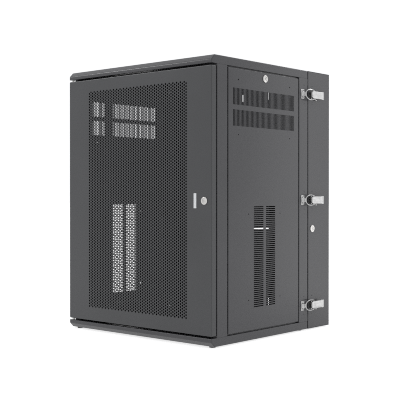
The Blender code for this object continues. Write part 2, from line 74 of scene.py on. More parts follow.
# ---- door perforation -------------------------------------------------------------------
HOLE_R = 0.0032
HOLE_SIDES = 12
PITCH = 0.009                   # centre to centre, in a staggered pattern
COLUMNS = 57
ROWS = 80
FIRST_HOLE = 0.0795             # height of the lowest row
DOOR_LOCK = (0.2916, 0.435)     # x and height

# ---- side panel vents: depths and heights -------------------------------------------------
SLOT_W = 0.0036
SLOTS = 51
UPPER_VENTS = ((0.100, 0.419, 0.728, 0.779), (0.100, 0.419, 0.663, 0.713))
LOWER_VENTS = ((0.203, 0.253, 0.101, 0.417), (0.266, 0.315, 0.101, 0.417))
VENT_SCREWS = ((0.126, 0.805), (0.394, 0.805), (0.126, 0.637), (0.394, 0.637),
               (0.177, 0.393), (0.341, 0.393), (0.177, 0.125), (0.341, 0.125))
PANEL_LOCK = (0.261, 0.820)

# ---- latches: depths, widths and drops ----------------------------------------------------
LATCH_SHEET = 0.0015
TONGUE_HALF = 0.0088            # the lever's narrow front, and how far back it ends
TONGUE_END = 0.0070
FLARE = 1.06                    # how much wider the finger end is
TIP_DROP = 0.0014
CATCH_SIZE = (0.008, 0.0085)
CATCH_Y = 0.5415
CATCH_DROP = 0.0140             # below the middle of the latch

# ---- screws, bolts and nuts: radius and rise of each head ---------------------------------
KEEPER_SCREW = (0.0032, 0.0013)
KEEPER_SCREW_Y = 0.0085         # behind the keeper's front edge
KEEPER_SCREW_DZ = 0.0115
LEAF_SCREW = (0.0042, 0.0018)
LEAF_SCREWS = {"main": (0.012, 0.026), "wall": (0.016, 0.038)}
LEAF_SCREW_DZ = 0.019
LEAF_T = 0.0025
RAIL_BOLT = (0.005, 0.0035)
RAIL_BOLTS = (0.0635, 0.8005)   # heights
NUT_R = 0.0140
NUT_BORE = 0.0099
NUT_T = 0.0035
CLEAR = 0.0002                  # between a nut and its sheet

# ---- cable ports --------------------------------------------------------------------------
PORT_HALF = 0.110
PORT_Y = (0.535, 0.600)
PORT_LAP = 0.005                # of the trim over the edge of the port
PORT_TRIM_T = 0.0015
BRISTLES = 140                  # in each of the two rows
BRISTLE_INSET = 0.001

# ---- rack rails ---------------------------------------------------------------------------
UNIT = 0.04445
UNITS = 18
UNIT_HOLES = (0.00635, 0.022225, 0.0381)
CAGE_HOLE = 0.0095


def back(depth):
    return FRONT + depth


def up(height):
    return SOLE + height


# ---- finishes -----------------------------------------------------------------------------
def group(name, inputs, outputs):
    """An empty shader group with float inputs and float outputs."""
    tree = bpy.data.node_groups.new(name, "ShaderNodeTree")
    for label, value in inputs.items():
        socket = tree.interface.new_socket(label, in_out="INPUT", socket_type="NodeSocketFloat")
        socket.default_value = value
    for label in outputs:
        tree.interface.new_socket(label, in_out="OUTPUT", socket_type="NodeSocketFloat")
    return tree, tree.nodes.new("NodeGroupInput"), tree.nodes.new("NodeGroupOutput")


def noise(tree, vector, scale, detail=3.0):
    node = tree.nodes.new("ShaderNodeTexNoise")
    node.inputs["Detail"].default_value = detail
    node.inputs["Roughness"].default_value = 0.55
    tree.links.new(vector, node.inputs["Vector"])
    if isinstance(scale, (int, float)):
        node.inputs["Scale"].default_value = scale
    else:
        tree.links.new(scale, node.inputs["Scale"])
    return node.outputs["Fac"]


def spread(tree, value, low, high, start=0.0, end=1.0):
    """Carry a value from one range to another, clamped."""
    node = tree.nodes.new("ShaderNodeMapRange")
    tree.links.new(value, node.inputs["Value"])
    for label, number in (("From Min", start), ("From Max", end), ("To Min", low), ("To Max", high)):
        node.inputs[label].default_value = number
    return node.outputs["Result"]


def sum_of(tree, first, second, operation="ADD"):
    node = tree.nodes.new("ShaderNodeMath")
    node.operation = operation
    for value, socket in zip((first, second), node.inputs):
        if isinstance(value, (int, float)):
            socket.default_value = value
        else:
            tree.links.new(value, socket)
    return node.outputs["Value"]


def powder_grain():
    """Powder coat: a fine orange-peel height, a speckle and a slow drift in gloss."""
    tree, given, result = group("powder_grain", {"Grain Scale": 900.0, "Drift Scale": 5.0},
                                ("Height", "Speckle", "Drift"))
    place = tree.nodes.new("ShaderNodeTexCoord").outputs["Object"]
    peel = noise(tree, place, given.outputs["Grain Scale"], 2.0)
    fine = noise(tree, place, sum_of(tree, given.outputs["Grain Scale"], 2.7, "MULTIPLY"), 1.0)
    tree.links.new(sum_of(tree, peel, fine), result.inputs["Height"])
    tree.links.new(spread(tree, fine, 0.0, 1.0, 0.35, 0.65), result.inputs["Speckle"])
    drift = noise(tree, place, given.outputs["Drift Scale"], 4.0)
    tree.links.new(spread(tree, drift, 0.0, 1.0, 0.3, 0.7), result.inputs["Drift"])
    return tree


def drawn_metal():
    """Rolled and plated steel: hair lines along one axis and a cloudy plating tone."""
    tree, given, result = group("drawn_metal", {"Line Scale": 900.0, "Cloud Scale": 60.0},
                                ("Height", "Lines", "Clouds"))
    place = tree.nodes.new("ShaderNodeTexCoord").outputs["Object"]
    stretch = tree.nodes.new("ShaderNodeMapping")
    stretch.inputs["Scale"].default_value = (1.0, 0.04, 1.0)
    tree.links.new(place, stretch.inputs["Vector"])
    lines = noise(tree, stretch.outputs["Vector"], given.outputs["Line Scale"], 2.0)
    tree.links.new(lines, result.inputs["Height"])
    tree.links.new(spread(tree, lines, 0.0, 1.0, 0.3, 0.7), result.inputs["Lines"])
    clouds = noise(tree, place, given.outputs["Cloud Scale"], 4.0)
    tree.links.new(spread(tree, clouds, 0.0, 1.0, 0.3, 0.7), result.inputs["Clouds"])
    return tree


def new_finish(name, metallic, extra=()):
    mat = bpy.data.materials.new(name)
    mat.use_nodes = True
    shader = mat.node_tree.nodes["Principled BSDF"]
    shader.inputs["Metallic"].default_value = metallic
    for label, value in extra:
        shader.inputs[label].default_value = value
    return mat, mat.node_tree, shader


def two_tones(tree, shader, factor, dark, light):
    mix = tree.nodes.new("ShaderNodeMix")
    mix.data_type = "RGBA"
    tree.links.new(factor, mix.inputs["Factor"])
    mix.inputs["A"].default_value = (*dark, 1.0)
    mix.inputs["B"].default_value = (*light, 1.0)
    tree.links.new(mix.outputs["Result"], shader.inputs["Base Color"])


def relief(tree, shader, height, distance, strength=1.0):
    bump = tree.nodes.new("ShaderNodeBump")
    bump.inputs["Distance"].default_value = distance
    bump.inputs["Strength"].default_value = strength
    tree.links.new(height, bump.inputs["Height"])
    tree.links.new(bump.outputs["Normal"], shader.inputs["Normal"])


def use(tree, effect, **values):
    node = tree.nodes.new("ShaderNodeGroup")
    node.node_tree = effect
    for label, value in values.items():
        node.inputs[label.replace("_", " ")].default_value = value
    return node.outputs


def painted(name, dark, light, rough, grain_scale=900.0, depth=0.00004):
    """Textured powder coat between two close tones."""
    mat, tree, shader = new_finish(name, 0.0, (("Specular IOR Level", 0.40),))
    grain = use(tree, GRAIN, Grain_Scale=grain_scale)
    tone = sum_of(tree, sum_of(tree, grain["Speckle"], 0.45, "MULTIPLY"),
                  sum_of(tree, grain["Drift"], 0.55, "MULTIPLY"))
    two_tones(tree, shader, tone, dark, light)
    tree.links.new(spread(tree, tone, rough - 0.05, rough + 0.06), shader.inputs["Roughness"])
    relief(tree, shader, grain["Height"], depth)
    return mat


def plated(name, dark, light, rough, line_scale=900.0, depth=0.00001, lines=0.5):
    """Metal between two tones, its gloss following the hair lines."""
    mat, tree, shader = new_finish(name, 1.0)
    metal = use(tree, METAL, Line_Scale=line_scale)
    tone = sum_of(tree, sum_of(tree, metal["Lines"], lines, "MULTIPLY"),
                  sum_of(tree, metal["Clouds"], 1.0 - lines, "MULTIPLY"))
    two_tones(tree, shader, tone, dark, light)
    tree.links.new(spread(tree, tone, rough + 0.08, rough - 0.05), shader.inputs["Roughness"])
    relief(tree, shader, metal["Height"], depth)
    return mat


def moulded(name, dark, light, rough):
    """Rubber or nylon with a dull moulded skin."""
    mat, tree, shader = new_finish(name, 0.0)
    grain = use(tree, GRAIN, Grain_Scale=1800.0, Drift_Scale=40.0)
    two_tones(tree, shader, grain["Drift"], dark, light)
    tree.links.new(spread(tree, grain["Speckle"], rough - 0.06, rough + 0.06),
                   shader.inputs["Roughness"])
    relief(tree, shader, grain["Height"], 0.00003)
    return mat


GRAIN = powder_grain()
METAL = drawn_metal()
FINISHES = {
    "cabinet_paint": (painted("cabinet_powder_coat", (0.035, 0.035, 0.038), (0.043, 0.043, 0.047), 0.30),
                      "cabinet_paint"),
    "door_paint": (painted("door_powder_coat", (0.035, 0.036, 0.038), (0.043, 0.044, 0.047), 0.30),
                   "door_paint"),
    "zinc": (plated("zinc_plate", (0.44, 0.44, 0.43), (0.62, 0.62, 0.60), 0.34, 500.0),
             "zinc_steel"),
    "bright_steel": (plated("bright_plate", (0.34, 0.34, 0.34), (0.50, 0.50, 0.495), 0.26, 700.0),
                     "bright_steel"),
    "nickel": (plated("satin_nickel", (0.44, 0.43, 0.42), (0.62, 0.61, 0.59), 0.24, 1200.0),
               "nickel_lock"),
    "rubber": (moulded("black_rubber", (0.014, 0.014, 0.014), (0.026, 0.026, 0.026), 0.72),
               "rubber_pad"),
    "badge": (plated("badge_satin", (0.50, 0.51, 0.52), (0.62, 0.63, 0.64), 0.36, 1600.0,
                     lines=0.8), "badge"),
}


# ---- mesh tools ---------------------------------------------------------------------------
def verts_in(geom):
    return [item for item in geom if isinstance(item, bmesh.types.BMVert)]


def edges_in(geom):
    return [item for item in geom if isinstance(item, bmesh.types.BMEdge)]


def finished(name, bm, finish, body, stands_for=(), angle=35, bevelled=False):
    """Make a piece from a mesh, give it its finish and hang it on its body.

    A bevelled piece keeps its flat faces flat up to the rounded edges."""
    mesh = bpy.data.meshes.new(name)
    bm.to_mesh(mesh)
    bm.free()
    mesh.shade_smooth()
    mesh.set_sharp_from_angle(angle=math.radians(angle))
    piece = bpy.data.objects.new(name, mesh)
    bpy.context.scene.collection.objects.link(piece)
    if bevelled:
        flat = piece.modifiers.new("flat_faces", "WEIGHTED_NORMAL")
        flat.keep_sharp = True
        flat.weight = 100
    material, slot = FINISHES[finish]
    mesh.materials.append(material)
    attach(piece, body)
    if stands_for:
        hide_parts(*stands_for)
    return piece


def joined(bm, other):
    """Move another mesh's geometry into this one."""
    mesh = bpy.data.meshes.new("joined")
    other.to_mesh(mesh)
    other.free()
    bm.from_mesh(mesh)
    bpy.data.meshes.remove(mesh)


def ring(bm, radius, sides, centre=(0, 0), turn=0.0, height=0.0):
    """A wire ring in the local XY plane; gives its edges."""
    spot = Matrix.Translation((*centre, height)) @ Matrix.Rotation(turn, 4, "Z")
    made = bmesh.ops.create_circle(bm, cap_ends=False, segments=sides, radius=radius, matrix=spot)
    return list({edge for vert in made["verts"] for edge in vert.link_edges})


def stretched_ring(bm, width, height, corner, sides=8):
    """A ring pulled apart into a rectangle with cut corners."""
    edges = ring(bm, corner, sides, turn=math.pi / sides)
    verts = {vert for edge in edges for vert in edge.verts}
    for vert in verts:
        shift = (math.copysign(width / 2 - corner, vert.co.x),
                 math.copysign(height / 2 - corner, vert.co.y), 0)
        bmesh.ops.translate(bm, vec=shift, verts=[vert])
    return edges


def filled(bm, edges):
    """Flat faces between the outer loop and the loops inside it; gives the faces."""
    made = bmesh.ops.triangle_fill(bm, use_beauty=True, use_dissolve=False, edges=edges,
                                   normal=(0, 0, 1))
    return [item for item in made["geom"] if isinstance(item, bmesh.types.BMFace)]


def stamped(bm, offsets):
    """Copy what the mesh holds to every offset from the first, which stays."""
    first = bm.verts[:] + bm.edges[:] + bm.faces[:]
    for offset in offsets:
        copied = bmesh.ops.duplicate(bm, geom=first)["geom"]
        bmesh.ops.translate(bm, vec=offset, verts=verts_in(copied))


def cell(outline, opening):
    """A flat ring of sheet round one opening, whose edges are marked as a seam."""
    bm = bmesh.new()
    inner = opening(bm)
    for edge in inner:
        edge.seam = True
    outer = outline(bm)
    filled(bm, inner + outer)
    return bm


def rounded(bm, edges, width, segments):
    bmesh.ops.bevel(bm, geom=edges, offset=width, segments=segments, affect="EDGES",
                    profile=0.5, material=-1, clamp_overlap=True)


def tray(width, height, depth, corner, fold):
    """A shallow folded tray, open at the back and without its front, whose rim is left."""
    bm = bmesh.new()
    bmesh.ops.create_cube(bm, size=1.0)
    bmesh.ops.scale(bm, vec=(width, height, depth), verts=bm.verts)
    bmesh.ops.translate(bm, vec=(0, 0, -depth / 2), verts=bm.verts)
    behind = [face for face in bm.faces if face.normal.z < -0.9]
    bmesh.ops.delete(bm, geom=behind, context="FACES_ONLY")
    rounded(bm, [e for e in bm.edges if abs(e.verts[0].co.z - e.verts[1].co.z) > depth / 2],
            corner, 4)
    bm.normal_update()
    front = [face for face in bm.faces if face.normal.z > 0.9]
    rounded(bm, list(front[0].edges), fold, 3)
    bm.normal_update()
    front = [face for face in bm.faces if face.normal.z > 0.999]
    bmesh.ops.delete(bm, geom=front, context="FACES_ONLY")
    return bm


def closed_front(bm):
    """Fill the front plane between the rim, the perforated fields and the loose holes."""
    bmesh.ops.remove_doubles(bm, verts=bm.verts, dist=MICRO)
    open_edges = [e for e in bm.edges if len(e.link_faces) < 2 and not e.seam
                  and all(abs(v.co.z) < MICRO for v in e.verts)]
    filled(bm, open_edges)
    bmesh.ops.recalc_face_normals(bm, faces=bm.faces)
    middle = min(bm.faces, key=lambda face: abs(face.calc_center_median().z))
    if middle.normal.z < 0:
        bmesh.ops.reverse_faces(bm, faces=bm.faces)


def part_of(bm, chosen):
    """A copy that keeps only the faces whose tag is chosen."""
    kept = bm.copy()
    others = [face for face in kept.faces if face.material_index != chosen]
    bmesh.ops.delete(kept, geom=others, context="FACES")
    for face in kept.faces:
        face.material_index = 0
    return kept


def thickened(bm, thickness):
    bmesh.ops.solidify(bm, geom=bm.faces[:], thickness=thickness)


def set_down(bm, across, upward, origin):
    """Carry a mesh from its own plane to where across and upward point."""
    across, upward = Vector(across), Vector(upward)
    turn = Matrix((across, upward, across.cross(upward))).transposed()
    bmesh.ops.transform(bm, matrix=Matrix.Translation(origin) @ turn.to_4x4(), verts=bm.verts)


def merged(node):
    """A CAD node's mesh as one skin of flat faces."""
    bm = bmesh.new()
    bm.from_mesh(frame["nodes"][node].data)
    bmesh.ops.remove_doubles(bm, verts=bm.verts, dist=0.00001)
    bmesh.ops.dissolve_limit(bm, angle_limit=math.radians(0.5), verts=bm.verts, edges=bm.edges)
    bm.normal_update()
    return bm


def outside_edges(bm, narrowest=0.0):
    """Edges that stick out by more than 40 degrees, between faces of at least a width."""
    return [e for e in bm.edges if len(e.link_faces) == 2
            and e.calc_face_angle_signed(0.0) > math.radians(40)
            and min(f.calc_area() for f in e.link_faces) >= narrowest * e.calc_length()]


def softened(node, finish, width, fold=0.0):
    """A CAD node with rounded folds and eased edges, standing for it."""
    bm = merged(node)
    bmesh.ops.triangulate(bm, faces=[f for f in bm.faces if len(f.verts) > 4])
    if fold:
        rounded(bm, outside_edges(bm, 0.004), fold, 3)
        bm.normal_update()
    if width:
        rounded(bm, outside_edges(bm), width, 2)
    return finished(node + "_finished", bm, finish, BODY_OF[node], [node], bevelled=True)


# ---- front door ---------------------------------------------------------------------------
def build_door():
    """The folded door with its staggered field of round holes."""
    middle = (DOOR_LOW + DOOR_HIGH) / 2
    size = DOOR_HIGH - DOOR_LOW
    bm = tray(size.x, size.z, size.y, 0.004, 0.0028)
    side = PITCH / math.sqrt(3)
    step = 1.5 * side
    column = cell(lambda b: ring(b, side, 6, turn=math.pi / 6),
                  lambda b: ring(b, HOLE_R, HOLE_SIDES))
    stamped(column, [(0, PITCH * row, 0) for row in range(1, ROWS)])
    bmesh.ops.translate(column, vec=(-step * (COLUMNS - 1) / 2, up(FIRST_HOLE) - middle.z, 0),
                        verts=column.verts)
    stamped(column, [(step * i, PITCH / 2 * (i % 2), 0) for i in range(1, COLUMNS)])
    for face in column.faces:
        face.material_index = 1 if face.calc_center_median().x < step / 2 else 2
    joined(bm, column)
    x, height = DOOR_LOCK
    ring(bm, 0.0098, 24, (x, up(height) - middle.z))
    closed_front(bm)
    for name, tag in (("door_frame", 0), ("door_perforation_left", 1), ("door_perforation_right", 2)):
        piece = part_of(bm, tag)
        thickened(piece, SHEET)
        set_down(piece, (1, 0, 0), (0, 0, 1), (middle.x, DOOR_LOW.y, middle.z))
        finished(name, piece, "door_paint", "front_door", ["front_door"], bevelled=tag == 0)
    bm.free()


# ---- side panels ----------------------------------------------------------------------------
def slot_field(low_x, high_x, low_y, high_y):
    """A row or a stack of narrow slots between two depths and two heights."""
    upright = high_x - low_x > high_y - low_y
    if upright != (high_y > 0.5):
        upright = not upright
    width, height = high_x - low_x, high_y - low_y
    if upright:
        pitch = (width - SLOT_W) / (SLOTS - 1)
        slot, frame_size, step = (SLOT_W, height), (pitch, height + 0.003), (pitch, 0)
        first = (low_x + SLOT_W / 2, (low_y + high_y) / 2)
    else:
        pitch = (height - SLOT_W) / (SLOTS - 1)
        slot, frame_size, step = (width, SLOT_W), (width + 0.003, pitch), (0, pitch)
        first = ((low_x + high_x) / 2, low_y + SLOT_W / 2)

    def outline(bm):
        made = bmesh.ops.create_grid(bm, x_segments=1, y_segments=1, size=0.5)
        bmesh.ops.scale(bm, vec=(*frame_size, 1), verts=made["verts"])
        faces = list({face for vert in made["verts"] for face in vert.link_faces})
        edges = list(faces[0].edges)
        bmesh.ops.delete(bm, geom=faces, context="FACES_ONLY")
        return edges

    bm = cell(outline, lambda b: stretched_ring(b, *slot, 0.0007))
    bmesh.ops.translate(bm, vec=(*first, 0), verts=bm.verts)
    stamped(bm, [(step[0] * i, step[1] * i, 0) for i in range(1, SLOTS)])
    return bm


def build_side_panel(side, sign):
    """A lift-off cover with two rows of upright slots and two columns of level ones."""
    node = f"{side}_side_panel"
    low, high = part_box(node)
    middle = (low + high) / 2
    size = high - low
    bm = tray(size.y, size.z, size.x, 0.0015, 0.0014)
    fields = bmesh.new()
    for low_y, high_y, low_z, high_z in UPPER_VENTS + LOWER_VENTS:
        joined(fields, slot_field(low_y, high_y, low_z, high_z))
    ring(fields, 0.0098, 24, PANEL_LOCK)
    for spot in VENT_SCREWS:
        ring(fields, 0.002, 12, spot)
    bmesh.ops.translate(fields, vec=(back(0) - middle.y, up(0) - middle.z, 0), verts=fields.verts)
    joined(bm, fields)
    if sign < 0:
        bmesh.ops.scale(bm, vec=(-1, 1, 1), verts=bm.verts)
    closed_front(bm)
    thickened(bm, SHEET)
    set_down(bm, (0, sign, 0), (0, 0, 1), (sign * HALF, middle.y, middle.z))
    finished(f"{side}_panel_skin", bm, "cabinet_paint", f"{side}_panel", [node], bevelled=True)


# ---- rack rails -----------------------------------------------------------------------------
def build_rack_rail(end, side):
    """An angle with square cage-nut holes, three to the rack unit."""
    node = f"{end}_{side}_rack_rail"
    low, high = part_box(node)
    bm = bmesh.new()
    width, tall = high.x - low.x, high.z - low.z
    start = (tall - UNIT * UNITS) / 2
    bounds = [0.0] + [(a + b) / 2 for a, b in zip(UNIT_HOLES, UNIT_HOLES[1:])] + [UNIT]
    unit = bmesh.new()
    for centre, bottom, top in zip(UNIT_HOLES, bounds, bounds[1:]):
        hole = ring(unit, CAGE_HOLE / math.sqrt(2), 4, (0, centre), math.pi / 4)
        outer = ring(unit, 0.5 * math.sqrt(2), 4, turn=math.pi / 4)
        corners = list({v for e in outer for v in e.verts})
        bmesh.ops.scale(unit, vec=(width, top - bottom, 1), verts=corners)
        bmesh.ops.translate(unit, vec=(0, (top + bottom) / 2, 0), verts=corners)
        for edge in hole:
            edge.seam = True
        filled(unit, hole + outer)
    stamped(unit, [(0, UNIT * i, 0) for i in range(1, UNITS)])
    joined(bm, unit)
    bmesh.ops.remove_doubles(bm, verts=bm.verts, dist=MICRO)
    for level, run in ((0.0, -start), (UNIT * UNITS, start)):
        rim = [e for e in bm.edges if all(abs(v.co.y - level) < MICRO for v in e.verts)]
        drawn = bmesh.ops.extrude_edge_only(bm, edges=rim)["geom"]
        bmesh.ops.translate(bm, vec=(0, run, 0), verts=verts_in(drawn))
    outer_x = -width / 2 if side == "left" else width / 2
    fold = [e for e in bm.edges if e.is_boundary and all(abs(v.co.x - outer_x) < MICRO for v in e.verts)]
    drawn = bmesh.ops.extrude_edge_only(bm, edges=fold)["geom"]
    bmesh.ops.translate(bm, vec=(0, 0, -(high.y - low.y)), verts=verts_in(drawn))
    bmesh.ops.translate(bm, vec=(0, -UNIT * UNITS / 2, 0), verts=bm.verts)
    bmesh.ops.recalc_face_normals(bm, faces=bm.faces)
    face = min(bm.faces, key=lambda f: abs(f.calc_center_median().z))
    if face.normal.z < 0:
        bmesh.ops.reverse_faces(bm, faces=bm.faces)
    thickened(bm, HEAVY)
    middle = (low + high) / 2
    front = end == "front"
    face_y = low.y if front else high.y
    if not front:
        bmesh.ops.rotate(bm, matrix=Matrix.Rotation(math.pi, 3, "Z"), verts=bm.verts)
    set_down(bm, (1, 0, 0) if front else (-1, 0, 0), (0, 0, 1), (middle.x, face_y, middle.z))
    finished(f"{end}_{side}_cage_nut_rail", bm, "cabinet_paint", "main_section", [node])


# ---- fasteners --------------------------------------------------------------------------------
def screw_head(radius, rise):
    """A domed head with a cross recess, standing on the local XY plane."""
    bm = bmesh.new()
    arm = radius * 0.55
    bmesh.ops.create_grid(bm, x_segments=3, y_segments=3, size=arm)
    corners = [f for f in bm.faces if min(abs(f.calc_center_median().x),
                                          abs(f.calc_center_median().y)) > arm / 3]
    bmesh.ops.delete(bm, geom=corners, context="FACES")
    cross = bm.faces[:]
    outline = [e for e in bm.edges if e.is_boundary]
    top = ring(bm, radius * 0.72, 16)
    filled(bm, outline + top)
    sunk = bmesh.ops.extrude_face_region(bm, geom=cross)["geom"]
    bmesh.ops.translate(bm, vec=(0, 0, -rise * 0.7), verts=verts_in(sunk))
    bmesh.ops.delete(bm, geom=cross, context="FACES_ONLY")
    edge = top
    for spread_by, drop in ((1.28, 0.25), (1.085, 0.35), (1.0, 0.4)):
        drawn = bmesh.ops.extrude_edge_only(bm, edges=edge)["geom"]
        bmesh.ops.scale(bm, vec=(spread_by, spread_by, 1), verts=verts_in(drawn))
        bmesh.ops.translate(bm, vec=(0, 0, -rise * drop), verts=verts_in(drawn))
        edge = edges_in(drawn)
    bmesh.ops.translate(bm, vec=(0, 0, rise), verts=bm.verts)
    bmesh.ops.recalc_face_normals(bm, faces=bm.faces)
    return bm


def bolt_head(radius, rise):
    """A hexagon head with a washer face."""
    bm = bmesh.new()
    bmesh.ops.create_cone(bm, cap_ends=True, segments=24, radius1=radius * 1.25,
                          radius2=radius * 1.2, depth=rise * 0.2)
    washer = bm.verts[:]
    bmesh.ops.translate(bm, vec=(0, 0, rise * 0.1), verts=washer)
    made = bmesh.ops.create_cone(bm, cap_ends=True, segments=6, radius1=radius,
                                 radius2=radius, depth=rise)["verts"]
    bmesh.ops.translate(bm, vec=(0, 0, rise * 0.5), verts=made)
    rim = [e for e in bm.edges if all(v in made and v.co.z > rise * 0.9 for v in e.verts)]
    rounded(bm, rim, rise * 0.15, 2)
    return bm


def fasteners(name, head, spots, outward, finish, body):
    """One head at each spot, all facing outward, as one piece."""
    upward = Vector((0, 0, 1)) if abs(outward[2]) < 0.5 else Vector((0, 1, 0))
    across = upward.cross(Vector(outward))
    whole = bmesh.new()
    for turn, spot in enumerate(spots):
        bm = head()
        bmesh.ops.rotate(bm, matrix=Matrix.Rotation(0.5 * turn, 3, "Z"), verts=bm.verts)
        set_down(bm, across, upward, spot)
        joined(whole, bm)
    return finished(name, whole, finish, body)


def lock_nut(name, spot, outward, inward_by, body):
    """The hexagon nut that holds a lock housing in its sheet, on the inside."""
    bm = bmesh.new()
    hexagon, bore = ring(bm, NUT_R, 6), ring(bm, NUT_BORE, 24)
    faces = filled(bm, hexagon + bore)
    made = bmesh.ops.extrude_face_region(bm, geom=faces)["geom"]
    bmesh.ops.translate(bm, vec=(0, 0, -NUT_T), verts=verts_in(made))
    bmesh.ops.recalc_face_normals(bm, faces=bm.faces)
    outward = Vector(outward)
    across = Vector((0, 0, 1)).cross(outward)
    set_down(bm, across, (0, 0, 1), Vector(spot) - outward * inward_by)
    finished(name, bm, "zinc", body)


def build_fasteners():
    def small():
        return screw_head(*KEEPER_SCREW)

    def large():
        return screw_head(*LEAF_SCREW)

    for level in ("top", "middle", "bottom"):
        low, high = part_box(f"latch_{level}_keeper")
        y, z = low.y + KEEPER_SCREW_Y, (low.z + high.z) / 2
        plate_x = low.x + LATCH_SHEET
        fasteners(f"latch_{level}_keeper_screws", small,
                  [(plate_x, y, z + dz) for dz in (-KEEPER_SCREW_DZ, KEEPER_SCREW_DZ)], (1, 0, 0),
                  "bright_steel", "main_section")
    for level in ("lower", "upper"):
        for leaf, body in (("main", "main_section"), ("wall", "wall_section")):
            low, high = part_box(f"swing_hinge_{level}_{leaf}_leaf")
            z = (low.z + high.z) / 2
            near, far = LEAF_SCREWS[leaf]
            fasteners(f"swing_hinge_{level}_{leaf}_screws", large,
                      [(-HALF - LEAF_T, low.y + dy, z + dz) for dy, dz in
                       ((near, -LEAF_SCREW_DZ), (far, 0.0), (near, LEAF_SCREW_DZ))],
                      (-1, 0, 0), "zinc", body)
    for side, sign in (("left", -1), ("right", 1)):
        for end in ("front", "rear"):
            low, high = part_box(f"{end}_{side}_rack_rail")
            x = (high.x if sign > 0 else low.x) - sign * HEAVY
            y = (low.y + high.y) / 2 + (0.002 if end == "front" else -0.002)
            fasteners(f"{end}_{side}_rail_bolts", lambda: bolt_head(*RAIL_BOLT),
                      [(x, y, up(height)) for height in RAIL_BOLTS], (-sign, 0, 0),
                      "zinc", "main_section")
    lock_nut("door_lock_nut", (DOOR_LOCK[0], FRONT, up(DOOR_LOCK[1])), (0, -1, 0), SHEET + CLEAR,
             "front_door")
    for side, sign in (("left", -1), ("right", 1)):
        lock_nut(f"{side}_panel_lock_nut", (sign * HALF, back(PANEL_LOCK[0]), up(PANEL_LOCK[1])),
                 (sign, 0, 0), SHEET + CLEAR, f"{side}_panel")
    wall_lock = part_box("wall_lock_housing")
    middle = (wall_lock[0] + wall_lock[1]) / 2
    lock_nut("wall_lock_nut", (HALF, middle.y, middle.z), (1, 0, 0), HEAVY + CLEAR,
             "wall_section")


# ---- latches ------------------------------------------------------------------------------------
def build_lever(level):
    """The latch lever: a folded channel with a narrow tongue in front and a flared finger end."""
    node = f"latch_{level}_lever"
    low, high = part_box(node)
    length, half = high.y - low.y, (high.z - low.z) / 2
    bm = bmesh.new()
    bmesh.ops.create_grid(bm, x_segments=14, y_segments=4, size=0.5)
    bmesh.ops.scale(bm, vec=(length, 2 * half, 1), verts=bm.verts)
    bmesh.ops.translate(bm, vec=(length / 2, 0, 0), verts=bm.verts)
    first = [v for v in bm.verts if MICRO < v.co.x < length * 0.11]
    bmesh.ops.translate(bm, vec=(TONGUE_END - first[0].co.x, 0, 0), verts=first)
    shoulder = [v for v in bm.verts if v.co.x < TONGUE_END - MICRO and abs(v.co.y) > half * 0.9]
    bmesh.ops.scale(bm, vec=(1, TONGUE_HALF / half, 1), verts=shoulder)
    end = [v for v in bm.verts if v.co.x > length * 0.82]
    bmesh.ops.scale(bm, vec=(1, FLARE, 1), verts=end)
    tip = [v for v in bm.verts if v.co.x > length * 0.95]
    bmesh.ops.translate(bm, vec=(0, 0, -TIP_DROP), verts=tip)
    sides = [e for e in bm.edges if e.is_boundary and all(abs(abs(v.co.y) - half) < MICRO
             and v.co.x < length * 0.8 for v in e.verts)]
    drawn = bmesh.ops.extrude_edge_only(bm, edges=sides)["geom"]
    bmesh.ops.translate(bm, vec=(0, 0, -(high.x - low.x)), verts=verts_in(drawn))
    for vert in verts_in(drawn):
        if vert.co.x > length * 0.45:
            bmesh.ops.translate(bm, vec=(0, 0, (vert.co.x / length - 0.45) * 0.018), verts=[vert])
    bmesh.ops.recalc_face_normals(bm, faces=bm.faces)
    plate = min(bm.faces, key=lambda f: abs(f.calc_center_median().z))
    if plate.normal.z < 0:
        bmesh.ops.reverse_faces(bm, faces=bm.faces)
    bm.normal_update()
    corners = [v for v in bm.verts if v.co.x > length * 0.99 and abs(v.co.y) > half]
    bmesh.ops.bevel(bm, geom=corners, offset=0.003, segments=3, affect="VERTICES",
                    profile=0.5, material=-1)
    folds = [e for e in bm.edges if len(e.link_faces) == 2
             and e.calc_face_angle(0.0) > math.radians(60)]
    rounded(bm, folds, 0.0014, 3)
    thickened(bm, LATCH_SHEET)
    set_down(bm, (0, 1, 0), (0, 0, 1), (high.x, low.y, (low.z + high.z) / 2))
    finished(f"latch_{level}_lever_channel", bm, "bright_steel", BODY_OF[node], [node])


def build_catch(level):
    """The small turned-out tab on the latch base, below the lever."""
    low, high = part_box(f"latch_{level}_base")
    bm = bmesh.new()
    bmesh.ops.create_grid(bm, x_segments=1, y_segments=3, size=0.5)
    bmesh.ops.scale(bm, vec=(*CATCH_SIZE, 1), verts=bm.verts)
    outer = [v for v in bm.verts if v.co.y < -0.0013]
    bmesh.ops.translate(bm, vec=(0, 0, 0.0035), verts=outer)
    bmesh.ops.scale(bm, vec=(0.7, 1, 1), verts=outer)
    thickened(bm, 0.0012)
    eased = [e for e in bm.edges if e.calc_face_angle(0.0) > math.radians(60)]
    rounded(bm, eased, 0.0003, 2)
    middle = (low + high) / 2
    set_down(bm, (0, 1, 0), (0, 0, 1), (low.x + LATCH_SHEET, back(CATCH_Y), middle.z - CATCH_DROP))
    finished(f"latch_{level}_catch", bm, "bright_steel", "wall_section", bevelled=True)


def build_latches():
    for level in ("top", "middle", "bottom"):
        build_lever(level)
        build_catch(level)
        softened(f"latch_{level}_base", "bright_steel", FINE_EASE)
        softened(f"latch_{level}_keeper", "bright_steel", EASE)
        softened(f"latch_{level}_bail", "bright_steel", 0.0)


